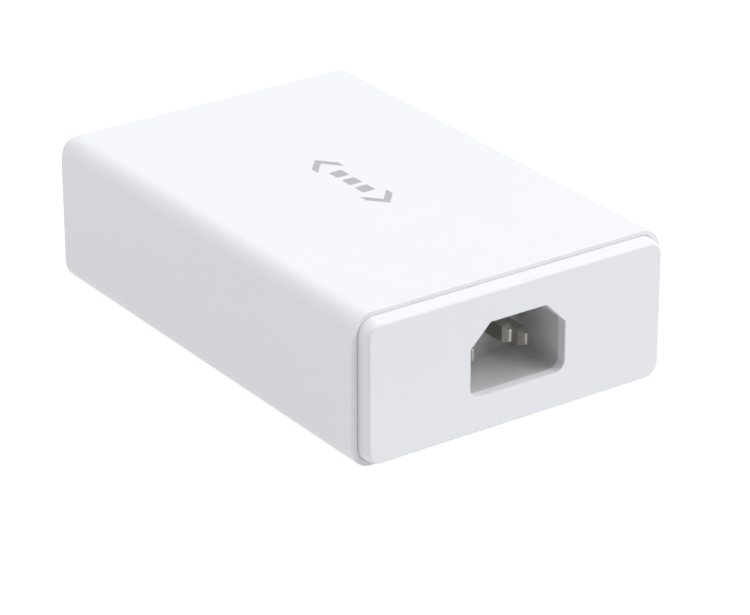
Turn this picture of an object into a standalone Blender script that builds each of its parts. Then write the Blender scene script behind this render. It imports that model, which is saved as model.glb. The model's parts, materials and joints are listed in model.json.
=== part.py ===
"""PoE injector: a mains-powered box that feeds a network cable, built as separate parts.

The origin is at the middle of the footprint, on the surface that the feet stand on. +Z is up, the mains
inlet faces -Y and the two network jacks face +Y. All lengths are in millimetres until make() turns the
finished points into metres.
"""

import math

import bmesh
import bpy

METRES_PER_MM = 0.001

# Housing
WIDTH = 80.0
HEIGHT = 35.0
SLEEVE_LENGTH = 115.2
WALL = 2.2
CORNER_RADIUS = 5.1
RIM_ROUND = 0.2
MOUTH_INSET = (1.5, 1.0)  # sides, top and bottom: from the outer skin to the edge of the mouth
REBATE_DEPTH = 3.0
FOOT_PROUD = 0.7
FOOT_RADIUS = 5.0
FOOT_RECESS = 0.8
FOOT_AT = (29.0, 44.0)
CORNER_STEPS = 8
RIM_STEPS = 4
SMALLEST_RADIUS = 0.8

# End caps
CAP_PROUD = 3.3
CAP_PLATE = 2.4
CAP_BASE_INSET = (1.8, 1.3)
CAP_FACE_INSET = (2.1, 1.7)
CAP_SKIRT_INSET = (3.8, 3.6)
CAP_EDGE_ROUND = 0.4
CAP_DEPTH = 2.7  # how far the skirt goes into the rebate
TONGUE_AT = 20.0
TONGUE_WIDTH = 7.6
TONGUE_LENGTH = 9.0
TONGUE_INSET = (2.5, 3.9)
BARB_INSET = 1.65
BARB_SPAN = (6.3, 8.2)  # distance from the rim
POCKET_SPAN = (6.0, 8.5)
POCKET_INSETS = (1.3, 3.2)

GAP = 0.3  # between neighbouring parts

# Mains inlet, to the standard 24.6 x 16.6 mm outline
INLET_WIDTH = 24.6
INLET_HEIGHT = 16.55
INLET_CHAMFER = 5.05
INLET_ROUND = 2.5
INLET_CENTRE_Z = FOOT_PROUD + 18.12
INLET_WALL = 1.3
INLET_CAVITY_DEPTH = 16.8  # from the cap's face to the inlet's back wall
INLET_BACK_WALL = 2.2
PIN_SIZE = (2.0, 4.0)
PIN_TIP = (0.7, 2.7)
PIN_TIP_LENGTH = 1.7
PIN_SPACING = 7.0  # live and neutral stand this far to each side
PIN_RAISE = 2.0  # earth above the middle, live and neutral below it
PIN_SET_BACK = 6.4  # live and neutral tips behind the cap's face
EARTH_SET_BACK = 2.8
PIN_SLOT_GAP = 0.1
LEG_AT = 7.0  # the socket's legs, to each side
LEG_SIZE = (6.0, 5.0)
TAIL_SIZE = 1.4
TAIL_BELOW_BOARD = 0.9

# Main board
BOARD_BOTTOM = FOOT_PROUD + 4.8
BOARD_THICKNESS = 1.6
BOARD_TOP = BOARD_BOTTOM + BOARD_THICKNESS
BOARD_HALF_WIDTH = 37.5
BOARD_HALF_LENGTH = 54.5
RAIL_DEPTH = 2.0
RAIL_HEIGHT = 1.2
RAIL_HALF_LENGTH = 50.0
SHEET_HALF_SIZE = (33.0, 45.0)
SHEET_THICKNESS = 0.3

# Power parts, standing on the board
SEAT = BOARD_TOP + GAP
CHOKE_CENTRE = (-20.0, -18.0)
CHOKE_RING = 7.2
CHOKE_CORE_RADIUS = 2.6
CHOKE_WIRE = 0.9
CHOKE_STARTS = (math.radians(25.0), math.radians(205.0))
CHOKE_WINDING_ARC = math.radians(130.0)
TRANSFORMER_CENTRE = (1.0, 2.0)
TRANSFORMER_HALF = (13.0, 6.5)
TRANSFORMER_HEIGHT = 22.0
TRANSFORMER_WINDOW = (3.4, 9.6)  # from the middle leg to the outer leg
TRANSFORMER_YOKE = 4.0
WINDING_OVERHANG = 4.0
FUSE_AT = (-31.0, -39.0)
FUSE_RADIUS = 2.6
FUSE_LENGTH = 20.0
FUSE_CAP_LENGTH = 5.5
FUSE_STEP = 0.3  # how much narrower the glass is than the metal ends
PACKAGE_WIDTH = 10.0
PACKAGE_THICKNESS = 4.4
PACKAGE_BODY = (1.5, 10.5)  # heights over the seat
PACKAGE_TAB = (9.0, 16.5)
PACKAGE_TAB_THICKNESS = 1.3
PACKAGE_HOLE_HEIGHT = 14.0
PACKAGE_HOLE_RADIUS = 1.8
HEATSINK_HEIGHT = 21.0
HEATSINK_PLATE = 1.8
HEATSINK_FIN = (1.0, 4.0)  # thickness, reach from the middle of the plate
HEATSINK_FIN_COUNT = 5
INDUCTOR_AT = (29.0, 14.0)
INDUCTOR_RADIUS = 5.2
INDUCTOR_WAIST = 0.8
INDUCTOR_HEIGHT = 11.0
INDUCTOR_FLANGE = 1.4

# Network jacks
JACK_AT = 13.0
SHIELD_SIZE = (16.2, 21.2, 13.5)
SHIELD_SHEET = 0.3
SHIELD_GAP = 0.15
JACK_SET_BACK = 0.4  # jack face behind the cap's face
MOUTH_WIDTH = 11.9
MOUTH_HEIGHT = 7.2
MOUTH_DEPTH = 13.5
MOUTH_LOW = 4.0  # above the bottom of the shield
LATCH_NOTCHES = ((6.2, 1.5), (3.4, 2.9))  # width, depth below the mouth
SLOT_WIDTH = 9.0
SLOT_DEPTH = 11.6
SLOT_RAISE = 1.0  # slot for the contacts above the mouth's ceiling
CONTACT_COUNT = 8
CONTACT_PITCH = 1.016
CONTACT_WIDTH = 0.45
CONTACT_THICKNESS = 0.35
CONTACT_LENGTH = 7.8
CONTACT_KNUCKLE = 0.3
CONTACT_SLOPE = math.radians(17.0)
KNUCKLE_BEHIND_FACE = 2.6
KNUCKLE_ABOVE_CEILING = 0.45

# Status lights
LIGHT_AT = 28.0
LIGHT_Z = FOOT_PROUD + 13.3
LIGHT_RADIUS = 1.5
LIGHT_PIPE_END = 52.5
LED_LENGTH = 6.0
LED_HOLDER = (2.8, 2.4)

RIM_Y = SLEEVE_LENGTH / 2
FACE_Y = RIM_Y + CAP_PROUD
TOP_Z = FOOT_PROUD + HEIGHT

COLOURS = {
    "housing_white": ((0.86, 0.86, 0.88), 0.42, 0.0),
    "inlet_grey": ((0.42, 0.42, 0.42), 0.5, 0.0),
    "pin_metal": ((0.62, 0.60, 0.56), 0.3, 1.0),
    "foot_rubber": ((0.20, 0.20, 0.21), 0.8, 0.0),
    "clear_plastic": ((0.85, 0.88, 0.86), 0.15, 0.0),
    "board_green": ((0.05, 0.24, 0.12), 0.5, 0.0),
    "black_plastic": ((0.03, 0.03, 0.03), 0.5, 0.0),
    "film_white": ((0.80, 0.79, 0.74), 0.5, 0.0),
    "glass_fuse": ((0.75, 0.78, 0.76), 0.15, 0.0),
    "blue_epoxy": ((0.05, 0.16, 0.42), 0.4, 0.0),
    "yellow_film": ((0.72, 0.58, 0.08), 0.45, 0.0),
    "ferrite": ((0.09, 0.09, 0.10), 0.6, 0.0),
    "copper_wire": ((0.62, 0.26, 0.10), 0.35, 1.0),
    "yellow_tape": ((0.78, 0.66, 0.16), 0.4, 0.0),
    "aluminium": ((0.72, 0.73, 0.75), 0.35, 1.0),
    "capacitor_sleeve": ((0.04, 0.05, 0.09), 0.35, 0.0),
    "shield_steel": ((0.66, 0.67, 0.68), 0.3, 1.0),
    "contact_gold": ((0.80, 0.60, 0.22), 0.25, 1.0),
}


# ---- making objects ----

def material(name):
    """The named Principled material, made once."""
    made = bpy.data.materials.get(name)
    if made:
        return made
    colour, roughness, metallic = COLOURS[name]
    made = bpy.data.materials.new(name)
    made.use_nodes = True
    shader = made.node_tree.nodes["Principled BSDF"]
    shader.inputs["Base Color"].default_value = (*colour, 1.0)
    shader.inputs["Roughness"].default_value = roughness
    shader.inputs["Metallic"].default_value = metallic
    return made


def make(name, bm, material_name, origin=(0.0, 0.0, 0.0), parent=None):
    """Turns millimetre points round origin into a linked object in metres."""
    bmesh.ops.recalc_face_normals(bm, faces=bm.faces)
    for vert in bm.verts:
        vert.co *= METRES_PER_MM
    mesh = bpy.data.meshes.new(name)
    bm.to_mesh(mesh)
    bm.free()
    mesh.shade_smooth()
    mesh.set_sharp_from_angle(angle=math.radians(35.0))
    mesh.materials.append(material(material_name))
    piece = bpy.data.objects.new(name, mesh)
    piece.location = [value * METRES_PER_MM for value in origin]
    bpy.context.scene.collection.objects.link(piece)
    if parent:
        piece.parent = parent
        piece.location = (0.0, 0.0, 0.0)
    return piece


def combine(target, tool, operation):
    """Cuts tool from target, or joins it on, and hides the tool."""
    tool.hide_render = True
    tool.display_type = "WIRE"
    step = target.modifiers.new(f"{operation.lower()}_{tool.name}", "BOOLEAN")
    step.operation = operation
    step.solver = "EXACT"
    step.object = tool


def cut(target, tool):
    combine(target, tool, "DIFFERENCE")


def join(target, tool):
    combine(target, tool, "UNION")


# ---- shapes ----

def add_loft(bm, loops, ring=False):
    """Skins loops that have equal point counts. A ring closes on itself; otherwise the ends are filled."""
    rows = [[bm.verts.new(point) for point in loop] for loop in loops]
    count = len(rows[0])
    pairs = list(zip(rows, rows[1:]))
    if ring:
        pairs.append((rows[-1], rows[0]))
    else:
        bm.faces.new(rows[0])
        bm.faces.new(rows[-1])
    for first, second in pairs:
        for i in range(count):
            j = (i + 1) % count
            bm.faces.new((first[i], first[j], second[j], second[i]))


def add_box(bm, low, high):
    x0, y0, z0 = low
    x1, y1, z1 = high
    add_loft(bm, [[(x0, y0, z), (x1, y0, z), (x1, y1, z), (x0, y1, z)] for z in (z0, z1)])


def boxes(name, spans, material_name):
    """One object of one or more boxes, each given by its low and high corners."""
    bm = bmesh.new()
    for low, high in spans:
        add_box(bm, low, high)
    return make(name, bm, material_name)


def place(axis, along, u, v):
    """A point from its distance along an axis and its two coordinates across it."""
    return {"X": (along, u, v), "Y": (u, along, v), "Z": (u, v, along)}[axis]


def outline_at(outline, axis, along):
    """An outline of (u, v) points, put at one distance along an axis."""
    return [place(axis, along, u, v) for u, v in outline]


def prism(name, outline, axis, start, end, material_name):
    """An outline, extruded along an axis."""
    bm = bmesh.new()
    add_loft(bm, [outline_at(outline, axis, along) for along in (start, end)])
    return make(name, bm, material_name)


def circle(centre, radius, steps):
    u, v = centre
    turns = [2 * math.pi * i / steps for i in range(steps)]
    return [(u + radius * math.cos(turn), v + radius * math.sin(turn)) for turn in turns]


def turned(name, centre, axis, profile, material_name, steps=24):
    """A solid of revolution. profile lists (distance along the axis, radius), with no radius of zero."""
    bm = bmesh.new()
    add_loft(bm, [outline_at(circle(centre, radius, steps), axis, along) for along, radius in profile])
    return make(name, bm, material_name)


def rounded(low, high, radii, steps=CORNER_STEPS):
    """A rectangle of (u, v) points with rounded corners. radii are those of the upper and lower corners."""
    upper, lower = radii
    corners = (
        (high[0] - upper, high[1] - upper, upper, 0),
        (low[0] + upper, high[1] - upper, upper, 1),
        (low[0] + lower, low[1] + lower, lower, 2),
        (high[0] - lower, low[1] + lower, lower, 3),
    )
    points = []
    for u, v, radius, quarter in corners:
        for i in range(steps + 1):
            angle = (quarter + i / steps) * math.pi / 2
            points.append((u + radius * math.cos(angle), v + radius * math.sin(angle)))
    return points


def housing_loop(inset, y):
    """The housing's outline, inset from the outer skin, at one place along its length."""
    side, top = inset
    radius = max(CORNER_RADIUS - (side + top) / 2, SMALLEST_RADIUS)
    half = WIDTH / 2 - side
    outline = rounded((-half, FOOT_PROUD + top), (half, TOP_Z - top), (radius, radius))
    return outline_at(outline, "Y", y)


# ---- housing ----

def sleeve_housing():
    """A tube with round rims, a rebate for each cap, rails for the board and pockets for the barbs."""
    rim = []
    for i in range(RIM_STEPS + 1):
        angle = i / RIM_STEPS * math.pi / 2
        rim.append((RIM_ROUND * (1 - math.sin(angle)), RIM_Y - RIM_ROUND * (1 - math.cos(angle))))
    outside = [((inset, inset), -y) for inset, y in rim]
    outside += [((inset, inset), y) for inset, y in reversed(rim)]
    rebate_end = RIM_Y - REBATE_DEPTH
    inside = [
        (MOUTH_INSET, RIM_Y),
        (MOUTH_INSET, rebate_end),
        ((WALL, WALL), rebate_end),
        ((WALL, WALL), -rebate_end),
        (MOUTH_INSET, -rebate_end),
        (MOUTH_INSET, -RIM_Y),
    ]
    bm = bmesh.new()
    add_loft(bm, [housing_loop(inset, y) for inset, y in outside + inside], ring=True)
    sleeve = make("sleeve_housing", bm, "housing_white")
    join(sleeve, boxes("rails", rail_spans(), "housing_white"))
    cut(sleeve, boxes("barb_pockets", pocket_spans(), "housing_white"))
    cut(sleeve, foot_recesses())
    return sleeve


def rail_spans():
    inner = WIDTH / 2 - WALL
    spans = []
    for low in (BOARD_BOTTOM - GAP - RAIL_HEIGHT, BOARD_TOP + GAP):
        for side in (-1, 1):
            ends = sorted((side * (inner - RAIL_DEPTH), side * (inner + WALL / 2)))
            high = low + RAIL_HEIGHT
            spans.append(((ends[0], -RAIL_HALF_LENGTH, low), (ends[1], RAIL_HALF_LENGTH, high)))
    return spans


def tongue_places():
    """Each tongue as (end of the housing, place across it, the skin it lies under, way in from it)."""
    return [
        (end, across, skin, inward)
        for end in (-1, 1)
        for across in (-TONGUE_AT, TONGUE_AT)
        for skin, inward in ((TOP_Z, -1), (FOOT_PROUD, 1))
    ]


def tongue_box(tongue, half_width, insets, from_rim):
    """A box under one skin of the housing, between two depths below it and two distances from the rim."""
    end, across, skin, inward = tongue
    z = sorted(skin + inward * inset for inset in insets)
    y = sorted(end * (RIM_Y - distance) for distance in from_rim)
    return ((across - half_width, y[0], z[0]), (across + half_width, y[1], z[1]))


def pocket_spans():
    half_width = TONGUE_WIDTH / 2 + GAP
    return [tongue_box(t, half_width, POCKET_INSETS, POCKET_SPAN) for t in tongue_places()]


def foot_centres():
    return [(x, y) for x in (-FOOT_AT[0], FOOT_AT[0]) for y in (-FOOT_AT[1], FOOT_AT[1])]


def foot_recesses():
    bm = bmesh.new()
    for centre in foot_centres():
        outline = circle(centre, FOOT_RADIUS + GAP, 24)
        add_loft(bm, [outline_at(outline, "Z", z) for z in (0.0, FOOT_PROUD + FOOT_RECESS)])
    return make("foot_recesses", bm, "housing_white")


def feet():
    top = FOOT_PROUD + FOOT_RECESS - GAP
    edge = 0.4
    profile = [(0.0, FOOT_RADIUS - edge), (edge, FOOT_RADIUS), (top, FOOT_RADIUS)]
    for number, centre in enumerate(foot_centres(), start=1):
        turned(f"foot_{number}", centre, "Z", profile, "foot_rubber")


# ---- end caps ----

def end_cap(name, end):
    """A bevelled tray that plugs one end (-1 or 1) of the sleeve, with four barbed tongues."""
    half_round = CAP_EDGE_ROUND * 0.3
    side, top = CAP_FACE_INSET
    stations = [
        ((side + CAP_EDGE_ROUND, top + CAP_EDGE_ROUND), FACE_Y),
        ((side + half_round, top + half_round), FACE_Y - half_round),
        (CAP_FACE_INSET, FACE_Y - CAP_EDGE_ROUND),
        (CAP_BASE_INSET, RIM_Y),
        (CAP_BASE_INSET, RIM_Y - CAP_DEPTH),
        (CAP_SKIRT_INSET, RIM_Y - CAP_DEPTH),
        (CAP_SKIRT_INSET, FACE_Y - CAP_PLATE),
    ]
    bm = bmesh.new()
    add_loft(bm, [housing_loop(inset, end * y) for inset, y in stations])
    cap = make(name, bm, "housing_white")
    tongues = [tongue for tongue in tongue_places() if tongue[0] == end]
    stems = [tongue_box(t, TONGUE_WIDTH / 2, TONGUE_INSET, (1.0, TONGUE_LENGTH)) for t in tongues]
    barb_depths = (BARB_INSET, TONGUE_INSET[1] - 0.4)
    barbs = [tongue_box(t, TONGUE_WIDTH / 2 - 0.5, barb_depths, BARB_SPAN) for t in tongues]
    join(cap, boxes(f"{name}_tongues", stems, "housing_white"))
    join(cap, boxes(f"{name}_barbs", barbs, "housing_white"))
    return cap


def inlet_outline(grow):
    """The mains inlet's outline, grown by a clearance: two chamfers above, two rounded corners below."""
    half = INLET_WIDTH / 2 + grow
    low = INLET_CENTRE_Z - INLET_HEIGHT / 2 - grow
    high = INLET_CENTRE_Z + INLET_HEIGHT / 2 + grow
    chamfer = INLET_CHAMFER + grow * math.tan(math.pi / 8)
    radius = INLET_ROUND + grow
    points = [(half, high - chamfer), (half - chamfer, high), (chamfer - half, high), (-half, high - chamfer)]
    steps = 6
    for centre_u, quarter in ((radius - half, 2), (half - radius, 3)):
        for i in range(steps + 1):
            angle = (quarter + i / steps) * math.pi / 2
            points.append((centre_u + radius * math.cos(angle), low + radius * (1 + math.sin(angle))))
    return points


def inlet_end_cap():
    cap = end_cap("inlet_end_cap", -1)
    opening = prism("inlet_opening", inlet_outline(0.0), "Y", -FACE_Y - 1.0, -RIM_Y + 1.0, "housing_white")
    cut(cap, opening)


def port_end_cap():
    cap = end_cap("port_end_cap", 1)
    half = SHIELD_SIZE[0] / 2 + GAP
    low = BOARD_TOP
    high = BOARD_TOP + SHIELD_SIZE[2] + 2 * GAP
    span = (RIM_Y - 1.0, FACE_Y + 1.0)
    for number, x in enumerate((-JACK_AT, JACK_AT), start=1):
        window = ((x - half, span[0], low), (x + half, span[1], high))
        cut(cap, boxes(f"jack_window_{number}", [window], "housing_white"))
    for number, x in enumerate((-LIGHT_AT, LIGHT_AT), start=1):
        profile = [(span[0], LIGHT_RADIUS + GAP), (span[1], LIGHT_RADIUS + GAP)]
        cut(cap, turned(f"light_hole_{number}", (x, LIGHT_Z), "Y", profile, "housing_white"))


# ---- mains inlet ----

def inlet_shell():
    """The moulded socket: walls, a back wall with a slot for each pin, and two legs down to the board."""
    front = -FACE_Y + CAP_PLATE + GAP
    back = -FACE_Y + INLET_CAVITY_DEPTH
    outside = inlet_outline(INLET_WALL)
    inside = inlet_outline(0.0)
    bm = bmesh.new()
    stations = [(outside, back + INLET_BACK_WALL), (outside, front), (inside, front), (inside, back)]
    add_loft(bm, [outline_at(outline, "Y", y) for outline, y in stations])
    shell = make("inlet_shell", bm, "inlet_grey")
    leg_top = INLET_CENTRE_Z - INLET_HEIGHT / 2 - INLET_WALL / 2
    half_leg = LEG_SIZE[0] / 2
    leg_back = back + INLET_BACK_WALL / 2
    legs = []
    for x in (-LEG_AT, LEG_AT):
        low = (x - half_leg, leg_back - LEG_SIZE[1], BOARD_TOP + GAP)
        legs.append((low, (x + half_leg, leg_back, leg_top)))
    join(shell, boxes("inlet_legs", legs, "inlet_grey"))
    half_width = PIN_SIZE[0] / 2 + PIN_SLOT_GAP
    half_height = PIN_SIZE[1] / 2 + PIN_SLOT_GAP
    slots = []
    for _, x, raise_by, _, _ in pin_places():
        z = INLET_CENTRE_Z + raise_by
        low = (x - half_width, back - 1.0, z - half_height)
        slots.append((low, (x + half_width, back + INLET_BACK_WALL + 1.0, z + half_height)))
    cut(shell, boxes("pin_slots", slots, "inlet_grey"))


def pin_places():
    """Each pin's name, place across the inlet, height over its middle, tip set-back and tail place."""
    back = -FACE_Y + INLET_CAVITY_DEPTH + INLET_BACK_WALL
    return [
        ("line_pin", -PIN_SPACING, -PIN_RAISE, PIN_SET_BACK, back + 2.0),
        ("neutral_pin", PIN_SPACING, -PIN_RAISE, PIN_SET_BACK, back + 2.0),
        ("earth_pin", 0.0, PIN_RAISE, EARTH_SET_BACK, back + 4.0),
    ]


def pins():
    """Flat blades with tapered tips. Each tail turns down behind the inlet and goes through the board."""
    for name, x, raise_by, set_back, tail_y in pin_places():
        z = INLET_CENTRE_Z + raise_by
        tip = -FACE_Y + set_back
        stations = [
            (tip, PIN_TIP),
            (tip + PIN_TIP_LENGTH, PIN_SIZE),
            (tail_y + TAIL_SIZE / 2, PIN_SIZE),
        ]
        bm = bmesh.new()
        loops = []
        for y, (width, height) in stations:
            across = (-width / 2, width / 2, width / 2, -width / 2)
            up = (-height / 2, -height / 2, height / 2, height / 2)
            loops.append([(x + u, y, z + v) for u, v in zip(across, up)])
        add_loft(bm, loops)
        pin = make(name, bm, "pin_metal")
        half = TAIL_SIZE / 2
        low = (x - half, tail_y - half, BOARD_BOTTOM - TAIL_BELOW_BOARD)
        high = (x + half, tail_y + half - 0.1, z)
        join(pin, boxes(f"{name}_tail", [(low, high)], "pin_metal"))


# ---- board and insulation ----

def main_board():
    low = (-BOARD_HALF_WIDTH, -BOARD_HALF_LENGTH, BOARD_BOTTOM)
    high = (BOARD_HALF_WIDTH, BOARD_HALF_LENGTH, BOARD_TOP)
    board = boxes("main_board", [(low, high)], "board_green")
    half = TAIL_SIZE / 2 + GAP
    holes = []
    for _, x, _, _, y in pin_places():
        holes.append(((x - half, y - half, BOARD_BOTTOM - 1.0), (x + half, y + half, BOARD_TOP + 1.0)))
    cut(board, boxes("tail_holes", holes, "board_green"))


def insulation_sheet():
    """A thin insulating film between the board and the bottom of the housing."""
    half_x, half_y = SHEET_HALF_SIZE
    bottom = FOOT_PROUD + WALL + GAP
    low = (-half_x, -half_y, bottom)
    high = (half_x, half_y, bottom + SHEET_THICKNESS)
    boxes("insulation_sheet", [(low, high)], "film_white")


# ---- power conversion ----

def block(name, centre, size, material_name, edge=0.5):
    """A box standing on the board, with its upright and top edges rounded off."""
    half_x = size[0] / 2
    half_y = size[1] / 2
    bm = bmesh.new()
    loops = []
    for inset, z in ((0.0, SEAT), (0.0, SEAT + size[2] - edge), (edge, SEAT + size[2])):
        radius = edge + 0.1
        low = (centre[0] - half_x + inset, centre[1] - half_y + inset)
        high = (centre[0] + half_x - inset, centre[1] + half_y - inset)
        loops.append(outline_at(rounded(low, high, (radius, radius), 2), "Z", z))
    add_loft(bm, loops)
    return make(name, bm, material_name)


def can(name, centre, radius, height, material_name):
    """An upright electrolytic can, with the crimp groove near its base and a rounded top edge."""
    groove = 0.5
    profile = [
        (SEAT, radius),
        (SEAT + 2.0, radius),
        (SEAT + 2.6, radius - groove),
        (SEAT + 3.2, radius),
        (SEAT + height - groove, radius),
        (SEAT + height, radius - groove),
    ]
    turned(name, centre, "Z", profile, material_name)


def disc(name, centre, radius, thickness, material_name):
    """A coated disc standing on edge on the board."""
    x, y = centre
    edge = 0.6
    profile = [
        (y - thickness / 2, radius - edge),
        (y - thickness / 2 + edge, radius),
        (y + thickness / 2 - edge, radius),
        (y + thickness / 2, radius - edge),
    ]
    turned(name, (x, SEAT + radius), "Y", profile, material_name)


def fuse():
    """A glass tube with a metal cap on each end, lying along the board."""
    x, y = FUSE_AT
    half = FUSE_LENGTH / 2
    cap_end = half - FUSE_CAP_LENGTH
    glass_radius = FUSE_RADIUS - FUSE_STEP
    profile = [
        (y - half, FUSE_RADIUS),
        (y - cap_end, FUSE_RADIUS),
        (y - cap_end + 0.1, glass_radius),
        (y + cap_end - 0.1, glass_radius),
        (y + cap_end, FUSE_RADIUS),
        (y + half, FUSE_RADIUS),
    ]
    turned("fuse", (x, SEAT + FUSE_RADIUS), "Y", profile, "glass_fuse", 16)


def torus_loop(ring_angle, radius, z, steps=12):
    """One section of a ring that lies flat, at an angle round it."""
    points = []
    for i in range(steps):
        angle = 2 * math.pi * i / steps
        reach = CHOKE_RING + radius * math.cos(angle)
        x = CHOKE_CENTRE[0] + reach * math.cos(ring_angle)
        y = CHOKE_CENTRE[1] + reach * math.sin(ring_angle)
        points.append((x, y, z + radius * math.sin(angle)))
    return points


def common_mode_choke():
    """A ferrite ring with a winding round each side of it."""
    z = SEAT + CHOKE_CORE_RADIUS + GAP + CHOKE_WIRE
    ring_steps = 28
    bm = bmesh.new()
    turns = [2 * math.pi * i / ring_steps for i in range(ring_steps)]
    add_loft(bm, [torus_loop(angle, CHOKE_CORE_RADIUS, z) for angle in turns], ring=True)
    make("choke_core", bm, "ferrite")
    inner = CHOKE_CORE_RADIUS + GAP
    outer = inner + CHOKE_WIRE
    winding_steps = 8
    for number, start in enumerate(CHOKE_STARTS, start=1):
        angles = [start + CHOKE_WINDING_ARC * i / winding_steps for i in range(winding_steps + 1)]
        loops = [torus_loop(angle, outer, z) for angle in angles]
        loops += [torus_loop(angle, inner, z) for angle in reversed(angles)]
        bm = bmesh.new()
        add_loft(bm, loops, ring=True)
        make(f"choke_winding_{number}", bm, "copper_wire")


def transformer():
    """Two E cores round a wound bobbin."""
    cx, cy = TRANSFORMER_CENTRE
    half_x, half_y = TRANSFORMER_HALF
    corner = (cx - half_x, cy - half_y, SEAT)
    opposite = (cx + half_x, cy + half_y, SEAT + TRANSFORMER_HEIGHT)
    core = boxes("transformer_core", [(corner, opposite)], "ferrite")
    near, far = TRANSFORMER_WINDOW
    low = SEAT + TRANSFORMER_YOKE
    high = SEAT + TRANSFORMER_HEIGHT - TRANSFORMER_YOKE
    windows = []
    for side in (-1, 1):
        ends = sorted((cx + side * near, cx + side * far))
        windows.append(((ends[0], cy - half_y - 1.0, low), (ends[1], cy + half_y + 1.0, high)))
    cut(core, boxes("transformer_windows", windows, "ferrite"))
    reach_x = far - GAP
    reach_y = half_y + WINDING_OVERHANG
    outside = rounded((cx - reach_x, cy - reach_y), (cx + reach_x, cy + reach_y), (2.0, 2.0), 3)
    bore_x = near + GAP
    bore_y = half_y + GAP
    inside = rounded((cx - bore_x, cy - bore_y), (cx + bore_x, cy + bore_y), (0.2, 0.2), 3)
    bm = bmesh.new()
    bottom = low + GAP
    top = high - GAP
    stations = [(outside, bottom), (outside, top), (inside, top), (inside, bottom)]
    add_loft(bm, [outline_at(outline, "Z", z) for outline, z in stations], ring=True)
    make("transformer_winding", bm, "yellow_tape")


def power_package(name, centre, facing):
    """An upright power semiconductor: a moulded body with its metal tab above, facing +Y or -Y."""
    x, y = centre
    half = PACKAGE_WIDTH / 2
    depth = PACKAGE_THICKNESS / 2
    low, high = (SEAT + height for height in PACKAGE_BODY)
    body = boxes(name, [((x - half, y - depth, low), (x + half, y + depth, high))], "black_plastic")
    near, far = sorted((y - facing * depth, y - facing * (depth - PACKAGE_TAB_THICKNESS)))
    low, high = (SEAT + height for height in PACKAGE_TAB)
    join(body, boxes(f"{name}_tab", [((x - half, near, low), (x + half, far, high))], "aluminium"))
    hole = [(y - half, PACKAGE_HOLE_RADIUS), (y + half, PACKAGE_HOLE_RADIUS)]
    cut(body, turned(f"{name}_hole", (x, SEAT + PACKAGE_HOLE_HEIGHT), "Y", hole, "aluminium", 12))


def heatsink(name, centre, length):
    """An upright plate with short fins along one side."""
    x, y = centre
    half = length / 2
    depth = HEATSINK_PLATE / 2
    high = SEAT + HEATSINK_HEIGHT
    plate = boxes(name, [((x - half, y - depth, SEAT), (x + half, y + depth, high))], "aluminium")
    thickness, reach = HEATSINK_FIN
    fins = []
    for i in range(HEATSINK_FIN_COUNT):
        at = x + (i / (HEATSINK_FIN_COUNT - 1) - 0.5) * (length - 2 * thickness)
        low = (at - thickness / 2, y + depth / 2, SEAT + 0.5)
        fins.append((low, (at + thickness / 2, y + reach, high - 0.5)))
    join(plate, boxes(f"{name}_fins", fins, "aluminium"))


def output_inductor():
    """A drum core with its winding in the waist."""
    waist = INDUCTOR_RADIUS - INDUCTOR_WAIST
    top = SEAT + INDUCTOR_HEIGHT
    profile = [
        (SEAT, INDUCTOR_RADIUS),
        (SEAT + INDUCTOR_FLANGE, INDUCTOR_RADIUS),
        (SEAT + INDUCTOR_FLANGE + 0.1, waist),
        (top - INDUCTOR_FLANGE - 0.1, waist),
        (top - INDUCTOR_FLANGE, INDUCTOR_RADIUS),
        (top, INDUCTOR_RADIUS),
    ]
    turned("output_inductor", INDUCTOR_AT, "Z", profile, "ferrite")


def power_parts():
    """Every part of the mains side and of the output filter, with its place on the board."""
    fuse()
    disc("varistor", (22.0, -47.0), 5.0, 4.0, "blue_epoxy")
    block("x_capacitor", (26.0, -34.0), (18.0, 9.0, 15.0), "yellow_film")
    common_mode_choke()
    block("bridge_rectifier", (2.0, -25.0), (16.0, 4.5, 11.0), "black_plastic")
    can("bulk_capacitor", (24.0, -16.0), 9.0, 24.0, "capacitor_sleeve")
    disc("y_capacitor", (-31.0, 20.0), 4.0, 3.4, "blue_epoxy")
    transformer()
    power_package("switching_transistor", (-24.0, 2.6), -1)
    heatsink("primary_heatsink", (-24.0, 6.2), 20.0)
    block("optocoupler", (-20.0, 18.0), (6.4, 4.8, 3.4), "black_plastic", 0.3)
    power_package("output_diode", (26.0, -2.4), -1)
    heatsink("secondary_heatsink", (26.0, 1.2), 18.0)
    can("output_capacitor_1", (0.0, 23.0), 5.0, 20.0, "capacitor_sleeve")
    can("output_capacitor_2", (12.0, 23.0), 5.0, 20.0, "capacitor_sleeve")
    output_inductor()


# ---- network side ----

def jack_frame(x):
    """The jack's middle, front face and underside."""
    return x, FACE_Y - JACK_SET_BACK, BOARD_TOP + GAP


def jack_shield(number, x):
    """A folded sheet box round the jack, open in front and below."""
    x, front, low = jack_frame(x)
    half = SHIELD_SIZE[0] / 2
    back = front - SHIELD_SIZE[1]
    high = low + SHIELD_SIZE[2]
    shield = boxes(f"jack_shield_{number}", [((x - half, back, low), (x + half, front, high))], "shield_steel")
    inner = half - SHIELD_SHEET
    hollow_low = (x - inner, back + SHIELD_SHEET, low - 1.0)
    hollow_high = (x + inner, front + 1.0, high - SHIELD_SHEET)
    cut(shield, boxes(f"shield_hollow_{number}", [(hollow_low, hollow_high)], "shield_steel"))


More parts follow.
